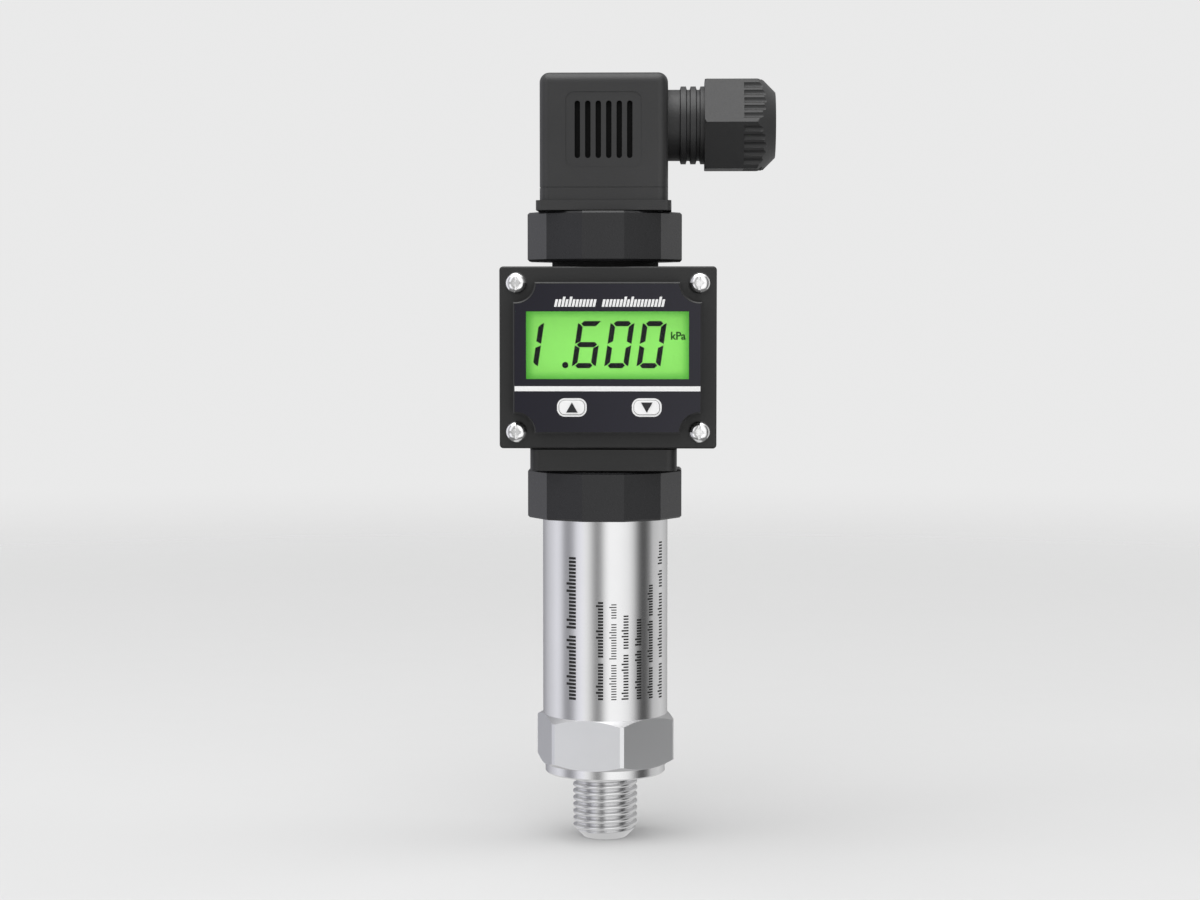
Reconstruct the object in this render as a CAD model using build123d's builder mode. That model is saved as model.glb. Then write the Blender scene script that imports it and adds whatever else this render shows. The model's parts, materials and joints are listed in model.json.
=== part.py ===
from build123d import *
from math import cos, pi, radians, sin, tan
import os

# Pressure transmitter: a stainless sensor body, a plug-in display head and a right-angle cable plug.
# Millimetres. The origin is the centre of the collar's underside, which seals against the vessel.
# +Z runs up the body, the display faces -Y and the cable gland points along +X.

os.makedirs("parts", exist_ok=True)

# Clearances, on each side
still_gap = 0.05         # still pieces that sit in each other
running_gap = 0.08       # pieces that turn or slide on each other
key_gap = 0.1            # buttons in their openings

# Pressure port: thread, collar, hexagon and sensor chamber, turned from one bar
thread_r = 7.0
thread_length = 14.3
tip_face_r = 4.7
port_bore_r = 1.5
collar_r = 13.0
collar_height = 2.1
collar_edge = 0.3
hex_flats = 27.0
hex_height = 10.8
hex_turn = 15.0          # how far a corner stands to the right of the front
hex_corner_strip = 0.9
hex_chamfer_angle = 30
spigot_height = 4.0
chamber_floor_z = 4.0

# Sensor capsule and what holds it
capsule_r = 9.5
capsule_height = 9.0
diaphragm_r = 7.2
diaphragm_thickness = 0.2
diaphragm_room = 0.5
capsule_groove_depth = 1.3
capsule_groove_width = 1.9
retainer_bore_r = 7.0
retainer_height = 2.5
spanner_slot = 2.0
pin_r = 0.25
pin_count = 5
pin_offset = 4.0
pin_depth = 1.5
pin_above_board = 0.8

# Body tube and electronics
tube_r = 13.5
tube_wall = 1.0
tube_length = 42.8
board_thickness = 1.6
board_side_gap = 0.7
spacer_wall = 2.0
spacer_height = 4.0
pillar_count = 4
pillar_offset = 8.5
pillar_flats = 3.5
pillar_height = 14.0
small_screw_r = 0.95
small_screw_length = 6.0
small_head_r = 1.7
small_head_height = 1.3
link_pin_r = 0.3
link_pin_pitch = 2.0
link_pin_count = 4
lead_r = 0.5
display_lead_r = 0.4

# Twelve-sided bases with their contact blades
base_flats = 33.0
base_height = 10.4
base_edge = 0.4
spigot_depth = 7.0
o_ring_groove_depth = 1.25
o_ring_groove_width = 1.9
lead_bore_r = 10.0
insert_r = 12.95
insert_thickness = 6.0
blade_offset = 9.0
blade_width = 6.3
blade_thickness = 0.8
blade_reach = 8.9
blade_tail = 3.0
blade_lug = 1.6
blade_lug_width = 3.0
gasket_side = 25.0
gasket_corner_r = 4.5
gasket_thickness = 1.5

# Display head
boss_side = 31.0
boss_corner_r = 2.2
boss_height = 5.1
boss_seat_gap = 0.35      # the boss stands on its gasket
boss_cover_gap = 0.3
head_x = 1.0             # the box stands a little to the right of the body's axis
head_back_y = 18.8
head_seam = 13.2         # in front of the axis, where the cover meets the box
head_wall = 2.2
head_corner_r = 0.8
rim_thickness = 2.8
rim_side = 3.1           # from the raised panel to the box's side
rim_end = 3.32           # from the raised panel to the box's top and bottom
plateau_height = 3.75
plateau_edge = 0.25
notch_r = 4.0
cover_face = 2.0
cover_wall = 1.1
film_thickness = 0.25
bead_r = 0.8
bead_below_top = 9.5
bead_behind_seam = 10.6
screw_inset_x = 3.6
screw_inset_z = 3.5
cover_screw_r = 1.2
cover_screw_length = 9.0
cover_head_r = 2.3
cover_head_height = 1.7
cover_head_round = 1.5
cross_width = 0.55
cross_length = 3.2
cross_depth = 1.2
cross_slope = 40           # degrees, of the recess from its rim down to its middle
post_r = 2.6
post_length = 11.0
seal_groove_width = 1.0
seal_groove_depth = 0.8
seal_inset = 0.6

# Display
window_width = 33.9
window_tall = 14.06
film_beside_window = 2.75
film_above_window = 6.1
film_below_window = 11.4
film_margin = 0.35
lens_margin = 0.5
lcd_margin = 0.95
lcd_glass_thickness = 1.0
lcd_cell_gap = 0.1
backlight_thickness = 2.5
digit_height = 9.85
digit_width = 5.0
digit_stroke = 1.07
digit_slant = 8.3
segment_gap = 0.16
digit_above_window = 0.08
digit_places = (-4.38, 2.42, 9.17)
one_place = -14.0
point_place = -8.3
point_r = 0.65
stripe_tall = 1.04
stripe_below_middle = 6.4
print_thickness = 0.1
board_pocket_gap = 0.2
boss_post_r = 1.55
boss_post_wall_gap = 0.1
boss_post_high_x = 10.0
boss_post_low_x = 15.0
tapping_screw_r = 0.75
tapping_screw_length = 4.0
tapping_head_r = 1.4
tapping_head_height = 1.0

# Buttons
button_width = 5.3
button_tall = 2.95
button_corner_r = 1.2
button_spacing = 15.6
button_shift = 0.4
button_below_middle = 10.3
button_proud = 0.25
button_edge = 0.15
button_travel = 0.4
button_flange = 0.8
button_flange_thickness = 0.8
button_ring_width = 0.35
arrow_width = 2.4
arrow_tall = 2.1
switch_side = 4.6
switch_height = 2.2
plunger_r = 1.0
plunger_overlap = 0.6

# Socket in the head's boss
socket_side = 21.8
socket_flange_side = 25.0
socket_flange = 1.5
contact_wall = 0.6
contact_play = 0.1
contact_above = 1.5
contact_lug = 0.6
head_screw_r = 1.45
head_screw_grip = 6.0
pan_head_r = 2.75
pan_head_height = 1.8

# Neck on top of the head
stem_r = 10.0
stem_bore_r = 8.6
neck_gap = 1.2
neck_seal_wall = 1.4
lock_nut_r = 12.0
lock_nut_height = 2.2
stem_below_nut = 0.6

# Cable plug
plug_flange_side = 28.5
plug_flange_lip = 0.75
plug_flange_height = 2.3
plug_height = 29.1
plug_seat_gap = 0.25      # the plug stands on its gasket
plug_flange_r = 1.3
plug_corner_r = 2.1
plug_top_r = 2.1
plug_wall = 2.3
plug_top_wall = 3.0
plug_seam_z = 4.9
plug_seam_depth = 0.12
plug_insert_height = 11.0
terminal_offset = 10.6
terminal_side = 4.6
terminal_height = 3.4
terminal_screw_r = 1.2
terminal_head_r = 2.0
terminal_head_height = 1.3
column_r = 4.2
head_recess_r = 3.1
head_recess_depth = 2.6
washer_r = 2.95
washer_thickness = 0.5
panel_width = 16.0
panel_tall = 15.8
panel_above_base = 17.1
panel_corner_r = 1.8
panel_depth = 0.15
slot_count = 6
slot_width = 1.15
slot_pitch = 2.2
slot_tall = 12.0
slot_depth = 0.9

# Cable gland
gland_above_base = 18.8
neck_r = 7.6
neck_length = 2.5
gland_thread_r = 8.3
gland_pitch = 2.1
gland_crest = 1.1
gland_flank = 0.2
sleeve_end = 30.5        # from the body's axis
sleeve_bore_r = 6.6
cable_way_r = 5.6
grommet_start = 24.4
grommet_nose_r = 5.2
grommet_end = 35.8
gland_travel = 3.2       # how far the nut can still be screwed in
cable_r = 2.55
thrust_washer_thickness = 0.8
nut_start = 21.3
nut_end = 36.4
nut_flats = 19.0
nut_face_r = 7.0
nut_wall_end = 2.5
nut_edge = 0.4
flute_start = 29.6
flute_count = 5
flute_pitch = 1.92
flute_r = 0.75
flute_depth = 0.45

# Display head, worked out from the window
plateau_width = window_width + 2 * film_beside_window
plateau_tall = window_tall + film_above_window + film_below_window
window_above_middle = (film_below_window - film_above_window) / 2
head_width = plateau_width + 2 * rim_side
head_height = plateau_tall + 2 * rim_end
screw_spacing_x = head_width - 2 * screw_inset_x
screw_spacing_z = head_height - 2 * screw_inset_z
pocket_width = plateau_width - 2 * cover_wall
pocket_tall = plateau_tall - 2 * cover_wall
boss_post_z = pocket_tall / 2 - boss_post_wall_gap - boss_post_r

# Levels, from the bottom up
hex_top = collar_height + hex_height
hex_corner_r = hex_flats / 2 / cos(pi / 6)
hex_drop = (hex_corner_r - hex_flats / 2) * tan(radians(hex_chamfer_angle))
tip_cone = thread_r - tip_face_r
tube_inner_r = tube_r - tube_wall
tube_top = hex_top + tube_length
spigot_top = hex_top + spigot_height
chamber_r = capsule_r + still_gap
capsule_bottom = chamber_floor_z + diaphragm_room
capsule_top = capsule_bottom + capsule_height
lower_base_top = tube_top + base_height
head_bottom = lower_base_top + boss_height
head_top = head_bottom + head_height
head_middle = (head_bottom + head_top) / 2
head_floor = head_bottom + head_wall
head_ceiling = head_top - head_wall
upper_base_bottom = head_top + neck_gap
upper_base_top = upper_base_bottom + base_height
plug_top = upper_base_top + plug_height
gland_z = upper_base_top + gland_above_base

# Faces of the display head, counted forward from the body's axis
rim_face = head_seam + rim_thickness
plateau_face = rim_face + plateau_height
film_face = plateau_face + film_thickness
cover_inside = plateau_face - cover_face
lcd_back = cover_inside - 2 * lcd_glass_thickness - lcd_cell_gap
display_board_face = lcd_back - backlight_thickness
display_board_back = display_board_face - board_thickness
head_plane = Plane((head_x, 0, head_middle), x_dir=(1, 0, 0), z_dir=(0, -1, 0))
screw_places = GridLocations(screw_spacing_x, screw_spacing_z, 2, 2).local_locations
blade_turns = (0, 90, 180, 270)


# Pressure port
with BuildPart() as pressure_port:
    with BuildSketch(Plane.XY.offset(collar_height)) as hex_outline:
        RegularPolygon(hex_flats / 2, 6, major_radius=False, rotation=hex_turn - 90)
        chamfer(hex_outline.vertices(), length=hex_corner_strip / 2 / sin(pi / 3))
    extrude(amount=hex_height)
    with BuildSketch(Plane.XZ):
        with BuildLine():
            Polyline(
                (0, collar_height),
                (hex_flats / 2, collar_height),
                (hex_corner_r, collar_height + hex_drop),
                (hex_corner_r, hex_top - hex_drop),
                (hex_flats / 2, hex_top),
                (0, hex_top),
                close=True,
            )
        make_face()
    revolve(axis=Axis.Z, mode=Mode.INTERSECT)
    with BuildSketch(Plane.XZ):
        with BuildLine():
            Polyline(
                (0, -thread_length),
                (tip_face_r, -thread_length),
                (thread_r, tip_cone - thread_length),
                (thread_r, 0),
                (collar_r - collar_edge, 0),
                (collar_r, collar_edge),
                (collar_r, collar_height),
                (0, collar_height),
                close=True,
            )
        make_face()
    revolve(axis=Axis.Z)
    with BuildSketch(Plane.XY.offset(hex_top)):
        Circle(tube_inner_r - still_gap)
    extrude(amount=spigot_height)
    with BuildSketch(Plane.XZ):
        with BuildLine():
            Polyline(
                (0, -thread_length),
                (port_bore_r, -thread_length),
                (port_bore_r, chamber_floor_z),
                (diaphragm_r + diaphragm_room, chamber_floor_z),
                (diaphragm_r + diaphragm_room, capsule_bottom),
                (chamber_r, capsule_bottom),
                (chamber_r, spigot_top),
                (0, spigot_top),
                close=True,
            )
        make_face()
    revolve(axis=Axis.Z, mode=Mode.SUBTRACT)
pressure_port.part.label = "pressure_port"
export_step(pressure_port.part, "parts/pressure_port.step")


# Sensor capsule with its side groove and the holes of its pins
groove_middle = capsule_bottom + capsule_height / 3
with BuildPart() as sensor_capsule:
    with BuildSketch(Plane.XY.offset(capsule_bottom)):
        Circle(capsule_r)
    extrude(amount=capsule_height)
    with BuildSketch(Plane.XY.offset(groove_middle - capsule_groove_width / 2)):
        Circle(capsule_r)
        Circle(capsule_r - capsule_groove_depth, mode=Mode.SUBTRACT)
    extrude(amount=capsule_groove_width, mode=Mode.SUBTRACT)
    with BuildSketch(Plane.XY.offset(capsule_top - pin_depth)):
        with PolarLocations(pin_offset, pin_count):
            Circle(pin_r + still_gap)
    extrude(amount=pin_depth, mode=Mode.SUBTRACT)
sensor_capsule.part.label = "sensor_capsule"
export_step(sensor_capsule.part, "parts/sensor_capsule.step")

with BuildPart() as capsule_diaphragm:
    with BuildSketch(Plane.XY.offset(capsule_bottom - diaphragm_thickness)):
        Circle(diaphragm_r)
    extrude(amount=diaphragm_thickness)
capsule_diaphragm.part.label = "capsule_diaphragm"
export_step(capsule_diaphragm.part, "parts/capsule_diaphragm.step")

capsule_ring_space = capsule_groove_depth + still_gap
with BuildPart() as capsule_o_ring:
    with BuildSketch(Plane.XZ):
        with Locations((chamber_r - capsule_ring_space / 2, groove_middle)):
            Circle((capsule_ring_space - still_gap) / 2)
    revolve(axis=Axis.Z)
capsule_o_ring.part.label = "capsule_o_ring"
export_step(capsule_o_ring.part, "parts/capsule_o_ring.step")

with BuildPart() as capsule_retainer:
    with BuildSketch(Plane.XY.offset(capsule_top)):
        Circle(capsule_r)
        Circle(retainer_bore_r, mode=Mode.SUBTRACT)
    extrude(amount=retainer_height)
    with BuildSketch(Plane.XY.offset(capsule_top + retainer_height / 2)):
        Rectangle(2 * capsule_r, spanner_slot)
    extrude(amount=retainer_height / 2, mode=Mode.SUBTRACT)
capsule_retainer.part.label = "capsule_retainer"
export_step(capsule_retainer.part, "parts/capsule_retainer.step")


# Body tube
with BuildPart() as body_tube:
    with BuildSketch(Plane.XY.offset(hex_top)):
        Circle(tube_r)
        Circle(tube_inner_r, mode=Mode.SUBTRACT)
    extrude(amount=tube_length)
body_tube.part.label = "body_tube"
export_step(body_tube.part, "parts/body_tube.step")


# Two round boards on a spacer ring and four pillars
board_r = tube_inner_r - board_side_gap
spacer_top = spigot_top + spacer_height
sensor_board_top = spacer_top + board_thickness
amplifier_bottom = sensor_board_top + pillar_height
amplifier_top = amplifier_bottom + board_thickness
link_pin_y = -5.5

with BuildPart() as board_spacer:
    with BuildSketch(Plane.XY.offset(spigot_top)):
        Circle(board_r)
        Circle(board_r - spacer_wall, mode=Mode.SUBTRACT)
    extrude(amount=spacer_height)
board_spacer.part.label = "board_spacer"
export_step(board_spacer.part, "parts/board_spacer.step")

with BuildPart() as capsule_pins:
    with BuildSketch(Plane.XY.offset(capsule_top - pin_depth)):
        with PolarLocations(pin_offset, pin_count):
            Circle(pin_r)
    extrude(amount=pin_depth + sensor_board_top - capsule_top + pin_above_board)
capsule_pins.part.label = "capsule_pins"
export_step(capsule_pins.part, "parts/capsule_pins.step")

with BuildPart() as sensor_board:
    with BuildSketch(Plane.XY.offset(spacer_top)):
        Circle(board_r)
        with PolarLocations(pin_offset, pin_count):
            Circle(pin_r + still_gap, mode=Mode.SUBTRACT)
    extrude(amount=board_thickness)
sensor_board.part.label = "sensor_board"
export_step(sensor_board.part, "parts/sensor_board.step")

with BuildPart() as board_pillars:
    with BuildSketch(Plane.XY.offset(sensor_board_top)):
        with PolarLocations(pillar_offset, pillar_count, start_angle=45):
            RegularPolygon(pillar_flats / 2, 6, major_radius=False)
    extrude(amount=pillar_height)
    with BuildSketch(Plane.XY.offset(amplifier_top - small_screw_length)):
        with PolarLocations(pillar_offset, pillar_count, start_angle=45):
            Circle(small_screw_r + still_gap)
    extrude(amount=small_screw_length, mode=Mode.SUBTRACT)
board_pillars.part.label = "board_pillars"
export_step(board_pillars.part, "parts/board_pillars.step")

with BuildPart() as amplifier_board:
    with BuildSketch(Plane.XY.offset(amplifier_bottom)):
        Circle(board_r)
        with PolarLocations(pillar_offset, pillar_count, start_angle=45):
            Circle(small_screw_r + still_gap, mode=Mode.SUBTRACT)
    extrude(amount=board_thickness)
amplifier_board.part.label = "amplifier_board"
export_step(amplifier_board.part, "parts/amplifier_board.step")

with BuildPart() as board_screws:
    with BuildSketch(Plane.XY.offset(amplifier_top)):
        with PolarLocations(pillar_offset, pillar_count, start_angle=45):
            Circle(small_head_r)
    extrude(amount=small_head_height)
    with BuildSketch(Plane.XY.offset(amplifier_top - small_screw_length)):
        with PolarLocations(pillar_offset, pillar_count, start_angle=45):
            Circle(small_screw_r)
    extrude(amount=small_screw_length)
board_screws.part.label = "board_screws"
export_step(board_screws.part, "parts/board_screws.step")

with BuildPart() as link_pins:
    with BuildSketch(Plane.XY.offset(sensor_board_top)):
        with Locations((0, link_pin_y)):
            with GridLocations(link_pin_pitch, link_pin_pitch, link_pin_count, 1):
                Circle(link_pin_r)
    extrude(amount=pillar_height)
link_pins.part.label = "link_pins"
export_step(link_pins.part, "parts/link_pins.step")

# Chips as (x, y, length, width, height), standing on the amplifier board
chips = ((-1.5, -1.0, 7.0, 5.0, 1.5), (4.2, 3.2, 3.2, 1.6, 1.2), (-2.4, 5.2, 3.2, 2.5, 1.8))
capacitor_place = (0.5, -6.3)
capacitor_r = 2.2
capacitor_height = 5.5
with BuildPart() as amplifier_parts:
    for chip_x, chip_y, chip_length, chip_width, chip_height in chips:
        with BuildSketch(Plane.XY.offset(amplifier_top)):
            with Locations((chip_x, chip_y)):
                Rectangle(chip_length, chip_width)
        extrude(amount=chip_height)
    with BuildSketch(Plane.XY.offset(amplifier_top)):
        with Locations(capacitor_place):
            Circle(capacitor_r)
    extrude(amount=capacitor_height)
amplifier_parts.part.label = "amplifier_parts"
export_step(amplifier_parts.part, "parts/amplifier_parts.step")


# Contact bases: a twelve-sided ring with a moulded insert, four blades and a flat gasket
def twelve_sided_body(bottom):
    """Solid body of a base, with small chamfers on its two rims."""
    with BuildPart() as body:
        with BuildSketch(Plane.XY.offset(bottom)):
            RegularPolygon(base_flats / 2, 12, major_radius=False, rotation=15)
        extrude(amount=base_height)
        rims = body.edges().group_by(Axis.Z)
        chamfer(rims[0] + rims[-1], length=base_edge)
    return body.part


def blade_slots(level, clearance):
    """Sketch of the four blade sections at a level."""
    with BuildSketch(Plane.XY.offset(level)) as slots:
        with PolarLocations(blade_offset, len(blade_turns)):
            Rectangle(blade_thickness + 2 * clearance, blade_width + 2 * clearance)
    return slots.sketch


def contact_insert(top):
    """Disc that carries the blades, with the thread of the middle screw."""
    with BuildPart() as insert:
        with BuildSketch(Plane.XY.offset(top - insert_thickness)):
            Circle(insert_r)
            Circle(head_screw_r + still_gap, mode=Mode.SUBTRACT)
        extrude(amount=insert_thickness)
        extrude(blade_slots(top - insert_thickness, still_gap), amount=insert_thickness, mode=Mode.SUBTRACT)
    return insert


def contact_blades(top):
    """Four flat blades, each with a solder lug under the insert."""
    tail_end = top - insert_thickness - blade_tail
    with BuildPart() as blades:
        extrude(blade_slots(tail_end, 0), amount=top + blade_reach - tail_end)
        with BuildSketch(Plane.XY.offset(tail_end)):
            with PolarLocations(blade_offset - blade_lug / 2, len(blade_turns)):
                Rectangle(blade_lug, blade_lug_width)
        extrude(amount=blade_thickness)
    return blades


def contact_gasket(bottom):
    """Flat gasket with openings for the blades and the middle screw."""
    with BuildPart() as gasket:
        with BuildSketch(Plane.XY.offset(bottom)):
            RectangleRounded(gasket_side, gasket_side, gasket_corner_r)
            Circle(head_screw_r + key_gap, mode=Mode.SUBTRACT)
        extrude(amount=gasket_thickness)
        extrude(blade_slots(bottom, key_gap), amount=gasket_thickness, mode=Mode.SUBTRACT)
    return gasket


insert_seat_r = insert_r + still_gap
insert_step = base_height - insert_thickness
lower_body = twelve_sided_body(tube_top)
with BuildPart() as lower_base:
    add(lower_body)
    with BuildSketch(Plane.XZ):
        with BuildLine():
            spigot_r = tube_inner_r - still_gap
            ring_floor_r = tube_inner_r - o_ring_groove_depth
            ring_low = tube_top - spigot_depth / 2 - o_ring_groove_width / 2
            ring_high = ring_low + o_ring_groove_width
            Polyline(
                (0, tube_top - spigot_depth),
                (spigot_r, tube_top - spigot_depth),
                (spigot_r, ring_low),
                (ring_floor_r, ring_low),
                (ring_floor_r, ring_high),
                (spigot_r, ring_high),
                (spigot_r, tube_top),
                (0, tube_top),
                close=True,
            )
        make_face()
    revolve(axis=Axis.Z)
    with BuildSketch(Plane.XY.offset(tube_top - spigot_depth)):
        Circle(lead_bore_r)
    extrude(amount=spigot_depth + base_height, mode=Mode.SUBTRACT)
    with BuildSketch(Plane.XY.offset(tube_top + insert_step)):
        Circle(insert_seat_r)
    extrude(amount=insert_thickness, mode=Mode.SUBTRACT)
lower_base.part.label = "lower_base"
export_step(lower_base.part, "parts/lower_base.step")

with BuildPart() as lower_o_ring:
    with BuildSketch(Plane.XZ):
        with Locations((tube_inner_r - o_ring_groove_depth / 2, (ring_low + ring_high) / 2)):
            Circle((o_ring_groove_depth - still_gap) / 2)
    revolve(axis=Axis.Z)
lower_o_ring.part.label = "lower_o_ring"
export_step(lower_o_ring.part, "parts/lower_o_ring.step")

lower_insert = contact_insert(lower_base_top)
lower_insert.part.label = "lower_insert"
export_step(lower_insert.part, "parts/lower_insert.step")

lower_blades = contact_blades(lower_base_top)
lower_blades.part.label = "lower_blades"
export_step(lower_blades.part, "parts/lower_blades.step")

lower_gasket = contact_gasket(lower_base_top)
lower_gasket.part.label = "lower_gasket"
export_step(lower_gasket.part, "parts/lower_gasket.step")

# Leads run straight up from the amplifier board to three of the lugs
lead_offset = blade_offset - blade_lug + lead_r
lead_places = PolarLocations(lead_offset, 3, start_angle=0, angular_range=270).local_locations
lower_lug = lower_base_top - insert_thickness - blade_tail
with BuildPart() as signal_leads:
    with BuildSketch(Plane.XY.offset(amplifier_top)):
        with Locations(*lead_places):
            Circle(lead_r)
    extrude(amount=lower_lug - amplifier_top)
signal_leads.part.label = "signal_leads"
export_step(signal_leads.part, "parts/signal_leads.step")


# Box of the display head, open at the front, with the socket boss below
gasket_pocket_side = gasket_side + 2 * still_gap
gasket_pocket_r = gasket_corner_r + still_gap
box_depth = head_seam + head_back_y
with BuildPart() as head_box:
    with BuildSketch(head_plane.offset(-head_back_y)):
        Rectangle(head_width, head_height)
    extrude(amount=box_depth)
    fillet(head_box.edges().filter_by(Axis.Y), radius=head_corner_r)
    fillet(head_box.faces().sort_by(Axis.Y)[-1].edges(), radius=head_corner_r / 2)
    with BuildSketch(head_plane.offset(head_wall - head_back_y)):
        Rectangle(head_width - 2 * head_wall, head_height - 2 * head_wall)
    extrude(amount=box_depth, mode=Mode.SUBTRACT)
    with BuildSketch(head_plane.offset(head_seam)):
        with Locations(*screw_places):
            Circle(post_r)
    extrude(amount=-post_length)
    with BuildSketch(Plane.XY.offset(lower_base_top + boss_seat_gap)):
        RectangleRounded(boss_side, boss_side, boss_corner_r)
    extrude(amount=boss_height - boss_seat_gap - boss_cover_gap)
    with BuildSketch(Plane.XY.offset(head_bottom - boss_cover_gap)):
        with Locations((0, (boss_side / 2 - head_seam) / 2)):
            Rectangle(boss_side, boss_side / 2 + head_seam)
    extrude(amount=boss_cover_gap)
    with BuildSketch(head_plane.offset(head_seam)):
        with Locations(*screw_places):
            Circle(cover_screw_r + still_gap)
    extrude(amount=rim_thickness - cover_screw_length, mode=Mode.SUBTRACT)
    with BuildSketch(head_plane.offset(head_seam)):
        Rectangle(head_width - 2 * seal_inset, head_height - 2 * seal_inset)
        Rectangle(
            head_width - 2 * seal_inset - 2 * seal_groove_width,
            head_height - 2 * seal_inset - 2 * seal_groove_width,
            mode=Mode.SUBTRACT,
        )
    extrude(amount=-seal_groove_depth, mode=Mode.SUBTRACT)
    with BuildSketch(Plane.XY.offset(lower_base_top)):
        RectangleRounded(gasket_pocket_side, gasket_pocket_side, gasket_pocket_r)
    extrude(amount=gasket_thickness, mode=Mode.SUBTRACT)
    with BuildSketch(Plane.XY.offset(lower_base_top)):
        Rectangle(socket_side + 2 * still_gap, socket_side + 2 * still_gap)
    extrude(amount=head_floor - lower_base_top, mode=Mode.SUBTRACT)
    with BuildSketch(Plane.XY.offset(head_ceiling)):
        Circle(stem_r + still_gap)
    extrude(amount=head_wall, mode=Mode.SUBTRACT)
    bead_start = bead_behind_seam - head_seam
    with BuildSketch(Plane.XZ.offset(-bead_start)):
        with Locations((head_x + head_width / 2, head_top - bead_below_top)):
            Circle(bead_r)
    extrude(amount=-(head_back_y - bead_start), mode=Mode.SUBTRACT)
head_box.part.label = "head_box"
export_step(head_box.part, "parts/head_box.step")

seal_width = head_width - 2 * seal_inset - 2 * still_gap
seal_tall = head_height - 2 * seal_inset - 2 * still_gap
seal_cord = seal_groove_width - 2 * still_gap
with BuildPart() as cover_gasket:
    with BuildSketch(head_plane.offset(head_seam)):
        Rectangle(seal_width, seal_tall)
        Rectangle(seal_width - 2 * seal_cord, seal_tall - 2 * seal_cord, mode=Mode.SUBTRACT)
    extrude(amount=-seal_groove_depth)
cover_gasket.part.label = "cover_gasket"
export_step(cover_gasket.part, "parts/cover_gasket.step")


# Cover with the raised panel, which is notched round the corner screws
def notched_panel(width, tall, corner_notch_r):
    """Rectangle with a round notch at each cover screw, in the open sketch context."""
    Rectangle(width, tall)
    with Locations(*screw_places):
        Circle(corner_notch_r, mode=Mode.SUBTRACT)


def key_outline(margin, mode=Mode.ADD):
    """Rounded outline of a button, grown by a margin."""
    RectangleRounded(
        button_width + 2 * margin, button_tall + 2 * margin, button_corner_r + margin, mode=mode
    )


button_places = [
    (button_shift + side * button_spacing / 2, -button_below_middle)
    for side in (-1, 1)
]
boss_post_places = [
    (-boss_post_high_x, boss_post_z),
    (boss_post_high_x, boss_post_z),
    (-boss_post_low_x, -boss_post_z),
    (boss_post_low_x, -boss_post_z),
]
with BuildPart() as head_cover:
    with BuildSketch(head_plane.offset(head_seam)):
        Rectangle(head_width, head_height)
    extrude(amount=rim_thickness)
    fillet(head_cover.edges().filter_by(Axis.Y), radius=head_corner_r)
    fillet(head_cover.faces().sort_by(Axis.Y)[0].edges(), radius=head_corner_r / 2)
    with BuildSketch(head_plane.offset(rim_face)):
        notched_panel(plateau_width, plateau_tall, notch_r)
    extrude(amount=plateau_height)
    chamfer(head_cover.faces().sort_by(Axis.Y)[0].edges(), length=plateau_edge)
    with BuildSketch(head_plane.offset(head_seam)):
        notched_panel(pocket_width, pocket_tall, notch_r + cover_wall)
    extrude(amount=cover_inside - head_seam, mode=Mode.SUBTRACT)
    with BuildSketch(head_plane.offset(cover_inside)):
        with Locations(*boss_post_places):
            Circle(boss_post_r)
    extrude(amount=display_board_face - cover_inside)
    with BuildSketch(head_plane.offset(display_board_face)):
        with Locations(*boss_post_places):
            Circle(tapping_screw_r + still_gap)
    extrude(amount=tapping_screw_length - board_thickness, mode=Mode.SUBTRACT)
    with BuildSketch(head_plane.offset(head_seam)):
        with Locations(*screw_places):
            Circle(cover_screw_r + key_gap)
    extrude(amount=rim_thickness, mode=Mode.SUBTRACT)
    with BuildSketch(head_plane.offset(cover_inside)):
        with Locations((0, window_above_middle)):
            Rectangle(window_width + 2 * lens_margin, window_tall + 2 * lens_margin)
        with Locations(*button_places):
            key_outline(key_gap)
    extrude(amount=cover_face, mode=Mode.SUBTRACT)
head_cover.part.label = "head_cover"
export_step(head_cover.part, "parts/head_cover.step")

# Cover screws: domed heads with a cross recess that slopes down to its middle
with BuildPart() as cross_recesses:
    with BuildSketch(head_plane.offset(rim_face + cover_head_height)):
        with Locations(*screw_places):
            Rectangle(cross_length, cross_width)
            Rectangle(cross_width, cross_length)
    extrude(amount=-cross_depth)
    with BuildSketch(head_plane.offset(rim_face + cover_head_height)):
        with Locations(*screw_places):
            Circle(cross_length / 2)
    extrude(amount=-cross_depth, taper=cross_slope, mode=Mode.INTERSECT)
with BuildPart() as cover_screws:
    with BuildSketch(head_plane.offset(rim_face)):
        with Locations(*screw_places):
            Circle(cover_head_r)
    extrude(amount=cover_head_height)
    fillet(cover_screws.edges().group_by(Axis.Y)[0], radius=cover_head_round)
    add(cross_recesses.part, mode=Mode.SUBTRACT)
    with BuildSketch(head_plane.offset(rim_face)):
        with Locations(*screw_places):
            Circle(cover_screw_r)
    extrude(amount=-cover_screw_length)
cover_screws.part.label = "cover_screws"
export_step(cover_screws.part, "parts/cover_screws.step")


# Printed face film, its white stripe and the rings round the buttons
film_width = plateau_width - 2 * film_margin
film_tall = plateau_tall - 2 * film_margin
with BuildPart() as face_film:
    with BuildSketch(head_plane.offset(plateau_face)):
        notched_panel(film_width, film_tall, notch_r + film_margin)
        with Locations((0, window_above_middle)):
            Rectangle(window_width, window_tall, mode=Mode.SUBTRACT)
        with Locations(*button_places):
            key_outline(key_gap, mode=Mode.SUBTRACT)
    extrude(amount=film_thickness)
face_film.part.label = "face_film"
export_step(face_film.part, "parts/face_film.step")

with BuildPart() as film_stripe:
    with BuildSketch(head_plane.offset(film_face)):
        with Locations((0, -stripe_below_middle)):
            Rectangle(film_width, stripe_tall)
    extrude(amount=print_thickness)
film_stripe.part.label = "film_stripe"
export_step(film_stripe.part, "parts/film_stripe.step")

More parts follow.
